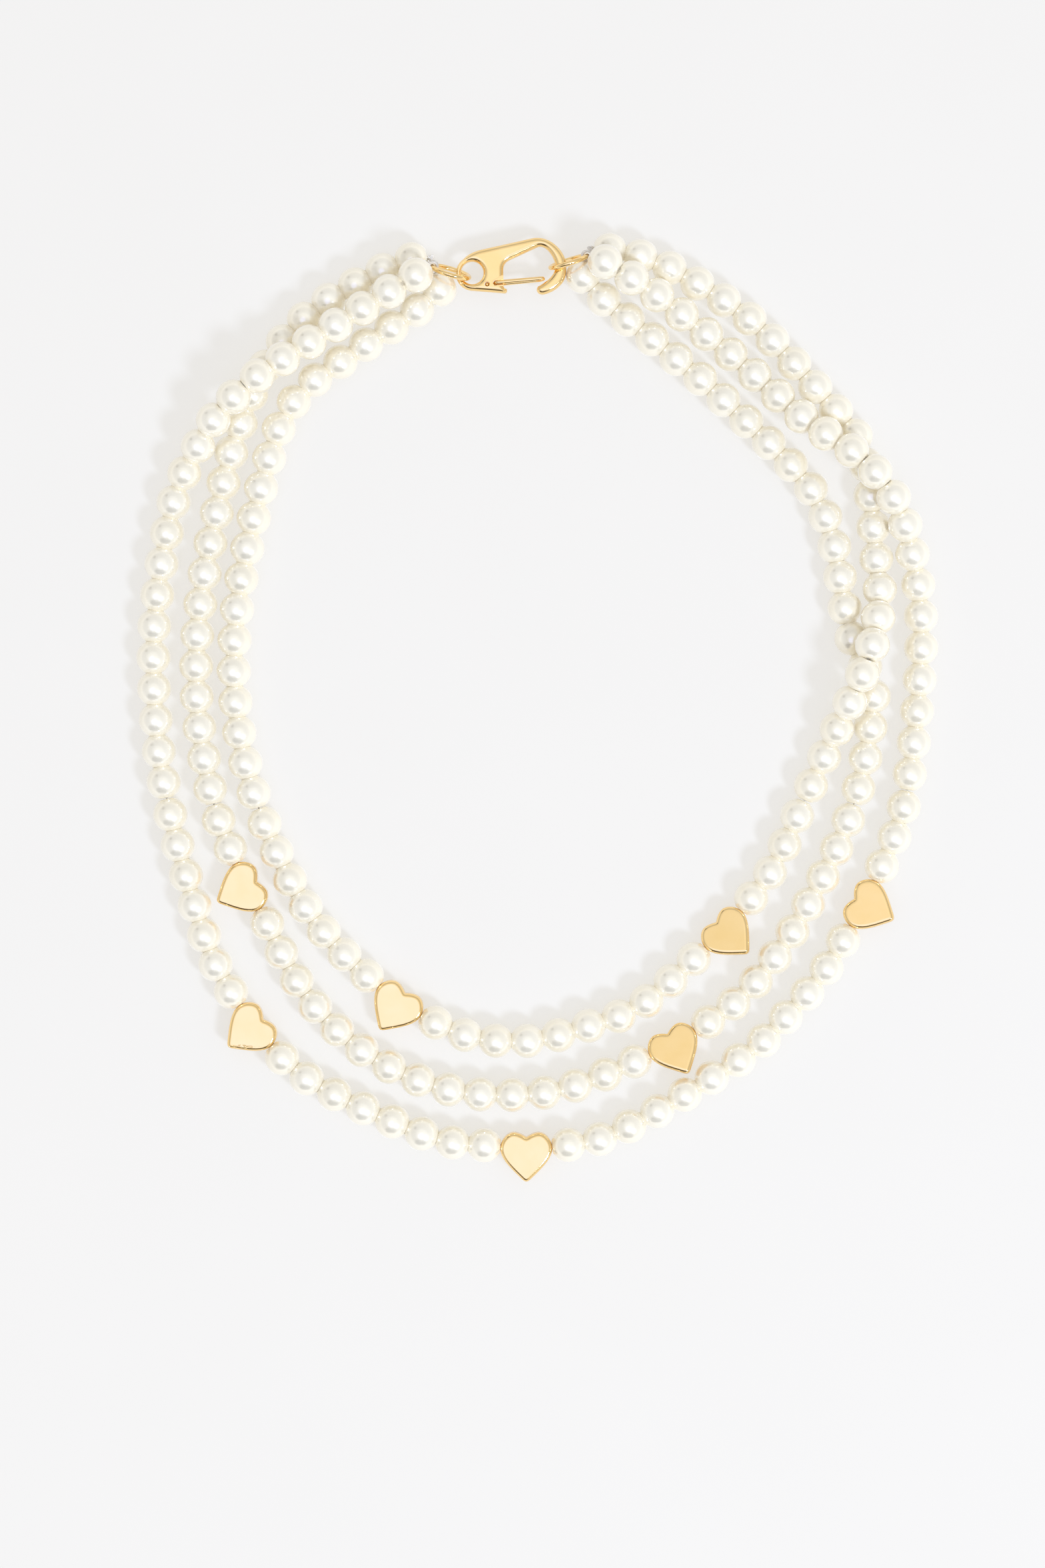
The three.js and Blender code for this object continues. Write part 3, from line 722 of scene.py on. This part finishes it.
THREAD_SIDES = 8
THREAD_STEP = 1.4  # along its length
LEAD_REACH = 0.6  # how far the lead to the ring goes back into the first pearl
LEAD_STEPS = 8  # between two of its places
TURNS = 2
TURN_STEPS = 20
TURN_RISE = 0.19  # of each turn along the ring, so that the turns press together
TURN_THREAD = 0.85  # the thread's radius where it is wound tight, as a share of its own
KNOT_THREAD = 0.95  # and in the knot
KNOT_STEPS = 48


def turn_centre(side, level):
    ring = RINGS[side]
    return ring.centre + ring.outward * RING_RADIUS + ring.upright * (level * TURN_SPACING)


def smooth_line(points):
    """Points of a uniform Catmull-Rom curve through a few places."""
    p = [Vector(q) for q in points]
    p = [p[0] * 2 - p[1], *p, p[-1] * 2 - p[-2]]
    line = []
    for i in range(len(p) - 3):
        line += [curve_point(*p[i:i + 4], k / LEAD_STEPS) for k in range(LEAD_STEPS)]
    return [*line, p[-2]]


def knot(place):
    """A small tight knot: a trefoil of thread."""
    line = []
    for k in range(KNOT_STEPS + 1):
        a = 2 * math.pi * k / KNOT_STEPS
        offset = Vector((
            math.sin(a) + 2 * math.sin(2 * a),
            math.cos(a) - 2 * math.cos(2 * a),
            -math.sin(3 * a),
        ))
        line.append(Vector(place) + offset * KNOT_RADIUS / 3)  # the formula's own radius is 3
    return tube(line, THREAD_RADIUS * KNOT_THREAD, THREAD_SIDES)


def thread_end(name, side, route, level):
    """Shapes of a thread's end: its turns round the ring's wire, its lead to the last pearl, its knot."""
    ring = RINGS[side]
    centre = turn_centre(side, level)
    first, inside = (0, LEAD_REACH) if side == "left" else (route.length, route.length - LEAD_REACH)
    end = route.point(first)
    knot_name, knot_place = KNOTS[side]
    has_knot = knot_name == name
    towards = (Vector(knot_place) if has_knot else end) - centre
    out = (towards - ring.upright * towards.dot(ring.upright)).normalized()
    around = ring.upright.cross(out)
    loop = []
    for k in range(TURNS * TURN_STEPS + 1):
        turn = k / TURN_STEPS
        a = 2 * math.pi * turn
        rise = ring.upright * (TURN_RISE * (turn - TURNS / 2))
        loop.append(centre + (out * math.cos(a) + around * math.sin(a)) * TURN_RADIUS + rise)
    lead = [route.point(inside), end]
    if has_knot:
        lead.append(Vector(knot_place))
    lead.append(loop[0] if level < 0 else loop[-1])
    shapes = [
        tube(loop, THREAD_RADIUS * TURN_THREAD, THREAD_SIDES),
        tube(smooth_line(lead), THREAD_RADIUS, THREAD_SIDES),
    ]
    if has_knot:
        shapes.append(knot(knot_place))
    return shapes


def thread_along(route, start, end):
    steps = max(2, int((end - start) / THREAD_STEP))
    line = [route.point(start + (end - start) * k / steps) for k in range(steps + 1)]
    return tube(line, THREAD_RADIUS, THREAD_SIDES)


def add_thread(name, shapes, body):
    piece = make_object(f"{name}_nylon", joined_mesh(name, shapes), NYLON)
    place_piece(piece, name, body)


# ---------------------------------------------------------------- strands

NICKED_HEARTS = {  # the centre and the half sizes of each nicked patch, in millimetres
    "outer_heart_left": ((-51.7, -59.6, 4.2), (3.5, 0.42, 1.5)),
    "middle_heart_left": ((-55.8, -34.9, 4.2), (0.8, 0.4, 1.5)),
}


def add_strand(name, strand):
    route = Route(strand["route"])
    hearts = [route.nearest(place) for place in strand["hearts"].values()]
    sections = pearl_distances(route, hearts, strand)
    left_count, right_count = strand["side_pearls"]
    left = sections[0][:left_count]
    right = sections[-1][-right_count:]
    front = [sections[0][left_count:], *sections[1:-1], sections[-1][:-right_count]]
    body = f"{name}_front"

    add_pearls(f"{name}_pearls_nape_left", left[:NAPE_PEARLS], route, "sides")
    add_pearls(f"{name}_pearls_side_left", left[NAPE_PEARLS:], route, "sides")
    add_pearls(f"{name}_pearls_side_right", right[:-NAPE_PEARLS], route, "sides")
    add_pearls(f"{name}_pearls_nape_right", right[-NAPE_PEARLS:], route, "sides")
    for k, run in enumerate(front):
        add_pearls(f"{name}_pearls_front_{k + 1}", run, route, body)

    for place, distance in zip(strand["hearts"], hearts):
        heart = f"{name}_heart_{place}"
        start, end = route.point(distance - HEART_SPAN / 2), route.point(distance + HEART_SPAN / 2)
        nicks = NICKED_HEARTS.get(heart)
        gold = gold_material(f"nicked_gold_{heart}", nicks) if nicks else GOLD
        add_heart(heart, start, end, HEART_TILT[place], gold)

    stretches = {
        "left": (0, left[-1] + PEARL_HALF_LENGTH),
        "right": (right[0] - PEARL_HALF_LENGTH, route.length),
    }
    for (side, (start, end)), level in zip(stretches.items(), strand["turn_levels"]):
        shapes = [*thread_end(name, side, route, level), thread_along(route, start, end)]
        add_thread(f"{name}_thread_{side}", shapes, "sides")
    middle = thread_along(route, front[0][0] - PEARL_HALF_LENGTH, front[-1][-1] + PEARL_HALF_LENGTH)
    add_thread(f"{name}_thread_front", [middle], body)


# ---------------------------------------------------------------- jump rings and clasp

WIRE_SIDES = 20
RING_STEPS = 80


def add_ring(side):
    half_cut = RING_CUT / RING_RADIUS / 2
    angles = np.linspace(math.pi / 2 + half_cut, math.pi * 2.5 - half_cut, RING_STEPS + 1)
    wire = tube([RINGS[side].point(a) for a in angles], RING_WIRE, WIRE_SIDES)
    name = f"{side}_jump_ring"
    piece = make_object(f"{name}_wire", joined_mesh(name, [wire]), GOLD)
    place_piece(piece, name, f"{side}_ring")


CLASP_EDGE = 0.82  # radius of its rounding
EYE_END_CENTRE = (0.15, -0.1)  # of the round end beyond the eye
EYE_END_RADIUS = 3.05
CLASP_STEPS = 12  # along each curve of its outline
ARC_STEPS = 24
EYE_STEPS = 48


def quadratic(a, b, c):
    """The two handles and the end of the cubic that a quadratic from a to c, with handle b, is."""
    first = tuple(a[i] + (b[i] - a[i]) * 2 / 3 for i in (0, 1))
    second = tuple(c[i] + (b[i] - c[i]) * 2 / 3 for i in (0, 1))
    return first, second, c


def clasp_outline():
    """The frame from its eye's centre: foot, eye end, long bar, hook and window, clockwise."""
    x, y = EYE_END_CENTRE
    eye_end = arc(EYE_END_CENTRE, EYE_END_RADIUS, -math.pi / 2, -0.81 * math.pi, ARC_STEPS)[1:]
    moves = [
        ((6.15, -3.2),),
        quadratic((6.15, -3.2), (6.1, -3.6), (5.7, -3.6)),
        ((x, y - EYE_END_RADIUS),),
        *[(spot,) for spot in eye_end],
        quadratic(eye_end[-1], (-0.5, 3.55), (1.31, 4.03)),
        ((10.35, 6.06),),
        ((12.9, 6.75), (15.3, 4.9), (16.2, 2.9)),
        ((16.75, 1.5), (16.85, -1.1), (15.4, -2.3)),
        ((14.6, -3.1), (13.6, -3.55), (12.7, -3.78)),
        ((11.6, -4), (11, -3.1), (11.55, -2.4)),
        ((13.3, -1.5), (14.6, -0.2), (14.64, 1.1)),
        ((14.68, 2.2), (13.3, 4.9), (11.7, 4.6)),
        ((6.6, 2.25),),
        quadratic((6.6, 2.25), (5.49, 1.7), (5.49, 0.6)),
        ((5.49, -2.2),),
        quadratic((5.49, -2.2), (5.55, -2.75), (6.1, -2.85)),
    ]
    return outline_of((6.1, -2.85), moves, CLASP_STEPS)


def pocket(pivot, low, high):
    """The recess in one face that a gate leg swings in: round its pivot, and open to the window."""
    round_end = arc(pivot, POCKET_RADIUS, -math.pi / 2, -0.85 * math.pi, ARC_STEPS // 2)
    return prism([(7, -2.45), *round_end, (5, -0.6), (7, 0.2)][::-1], low, high)


def add_clasp_frame():
    eye = circle((0, 0), EYE_RADIUS, EYE_STEPS)
    mesh = plate_mesh(clasp_outline(), [eye], CLASP_THICKNESS, CLASP_EDGE)
    cutters = [
        pocket(PIVOT_TOP, WEB_THICKNESS / 2, CLASP_THICKNESS),
        pocket(PIVOT_UNDER, -CLASP_THICKNESS, -WEB_THICKNESS / 2),
    ]
    for pivot in (PIVOT_TOP, PIVOT_UNDER):
        cutters.append(prism(circle(pivot, PIVOT_HOLE_RADIUS, ARC_STEPS), -CLASP_THICKNESS, CLASP_THICKNESS))
    place = Matrix.Translation(Vector(CLASP_PLACE) * MM) @ Matrix.Scale(MM, 4)
    mesh = finish_hard_surface(cut(mesh, cutters), place)
    piece = make_object("clasp_frame_plate", mesh, GOLD)
    place_piece(piece, "clasp_frame", "clasp")


BEND_STEPS = 8


def rounded_path(corners, bend):
    """The corners joined by straight runs with a quadratic bend at each inner corner."""
    corners = [Vector(c) for c in corners]
    line = [corners[0]]
    for before, corner, after in zip(corners, corners[1:], corners[2:]):
        start = corner + (before - corner).normalized() * bend
        end = corner + (after - corner).normalized() * bend
        for k in range(BEND_STEPS + 1):
            t = k / BEND_STEPS
            line.append(start * (1 - t) ** 2 + corner * 2 * t * (1 - t) + end * t * t)
    return [*line, corners[-1]]


def add_gate():
    corners = [
        (*PIVOT_UNDER, GATE_PIN_UNDER), (*PIVOT_UNDER, -GATE_LEG_HEIGHT), (*GATE_NOSE, -GATE_LEG_HEIGHT),
        (*GATE_NOSE, GATE_LEG_HEIGHT), (*PIVOT_TOP, GATE_LEG_HEIGHT), (*PIVOT_TOP, GATE_PIN_TOP),
    ]
    line = [p + Vector(CLASP_PLACE) for p in rounded_path(corners, GATE_BEND)]
    wire = tube(line, GATE_WIRE, WIRE_SIDES)
    piece = make_object("clasp_gate_wire", joined_mesh("clasp_gate", [wire]), GOLD)
    place_piece(piece, "clasp_gate", "gate")


# ---------------------------------------------------------------- floor, light and camera

VIEW_CENTRE = Vector((-2.6, -13.3, 0)) * MM
VIEW_LENGTH = 0.2777  # of floor, along the frame's long side
LENS = 85.0
SENSOR = 36.0
FLOOR_REACH = 6.0  # metres each way, so that its edge stays far off

KEY_DIRECTION = (0.45, -0.45, 0.77)  # from the middle of the view
KEY_DISTANCE = 1.3
KEY_SIZE = 0.26
KEY_POWER = 10.4
KEY_COLOUR = (0.72, 0.81, 1.0)
WALLS = [  # the room's colours by height, from the horizon at 0 to straight up at 1
    (0, (1.05, 1.04, 1.02)), (0.18, (1.02, 1.01, 1.0)), (0.23, (0.72, 0.72, 0.74)),
    (0.74, (0.60, 0.605, 0.62)), (0.87, (0.85, 0.865, 0.885)), (0.97, (0.92, 0.93, 0.95)),
    (0.985, (1.1, 1.12, 1.2)), (1, (1.12, 1.15, 1.3)),
]
PATCHES = (  # the direction of each, how many degrees from it the patch is full and is gone, its colour
    ((-0.09, -0.24, 0.966), 14, 22, (1.14, 1.22, 1.75)),
    ((-0.32, -0.82, 0.49), 12, 26, (0.1, 0.095, 0.09)),
    ((0.12, -0.88, 0.49), 9, 22, (0.12, 0.115, 0.11)),
    ((-0.62, 0.62, 0.48), 5, 11, (0.16, 0.15, 0.14)),
)


def add_floor():
    corners = [(x * FLOOR_REACH, y * FLOOR_REACH, 0) for x, y in ((-1, -1), (1, -1), (1, 1), (-1, 1))]
    make_object("floor", mesh_of("floor", corners, [(0, 1, 2, 3)]), floor_material())


def add_key():
    """The one lamp: a slightly blue disc from the lower right."""
    lamp = bpy.data.lights.new("key", "AREA")
    lamp.shape = "DISK"
    lamp.size = KEY_SIZE
    lamp.energy = KEY_POWER
    lamp.color = KEY_COLOUR
    way = Vector(KEY_DIRECTION).normalized()
    holder = add_object("key", lamp)
    holder.location = VIEW_CENTRE + way * KEY_DISTANCE
    holder.rotation_euler = (-way).to_track_quat("-Z", "Y").to_euler()


def patch(tree, direction, centre, inner, outer):
    """1 within the inner angle of a direction of the room, falling to 0 at the outer angle."""
    dot = node(tree, "ShaderNodeVectorMath", operation="DOT_PRODUCT")
    tree.links.new(direction, dot.inputs[0])
    dot.inputs[1].default_value = Vector(centre).normalized()
    made = node(tree, "ShaderNodeMapRange", interpolation_type="SMOOTHSTEP")
    made.inputs["From Min"].default_value = math.cos(math.radians(outer))
    made.inputs["From Max"].default_value = math.cos(math.radians(inner))
    tree.links.new(dot.outputs["Value"], made.inputs["Value"])
    return made.outputs["Result"]


def add_world():
    """A pale room, greyer half way up, with a soft box overhead and three unlit openings."""
    world = bpy.data.worlds.new("studio")
    world.use_nodes = True
    tree = world.node_tree
    background = tree.nodes["Background"]
    direction = tree.nodes.new("ShaderNodeTexCoord").outputs["Generated"]
    height = node(tree, "ShaderNodeSeparateXYZ")
    tree.links.new(direction, height.inputs["Vector"])
    colour = ramp(tree, height.outputs["Z"], WALLS)
    for centre, inner, outer, level in PATCHES:
        mix = node(tree, "ShaderNodeMix", data_type="RGBA")
        mix.inputs[MIX_B].default_value = (*level, 1)
        tree.links.new(patch(tree, direction, centre, inner, outer), mix.inputs[MIX_FACTOR])
        tree.links.new(colour, mix.inputs[MIX_A])
        colour = mix.outputs[MIX_RESULT]
    tree.links.new(colour, background.inputs["Color"])
    background.inputs["Strength"].default_value = 1.0
    bpy.context.scene.world = world


def add_camera():
    lens = bpy.data.cameras.new("camera")
    lens.lens = LENS
    lens.sensor_width = SENSOR
    lens.clip_start = 0.01
    holder = add_object("camera", lens)
    holder.location = VIEW_CENTRE + UP * (VIEW_LENGTH * LENS / SENSOR)
    bpy.context.scene.camera = holder


# ---------------------------------------------------------------- build

for strand_name, strand_data in STRANDS.items():
    add_strand(strand_name, strand_data)
add_ring("left")
add_ring("right")
add_clasp_frame()
add_gate()
add_floor()
add_key()
add_world()
add_camera()
bpy.context.scene.view_settings.view_transform = "Standard"
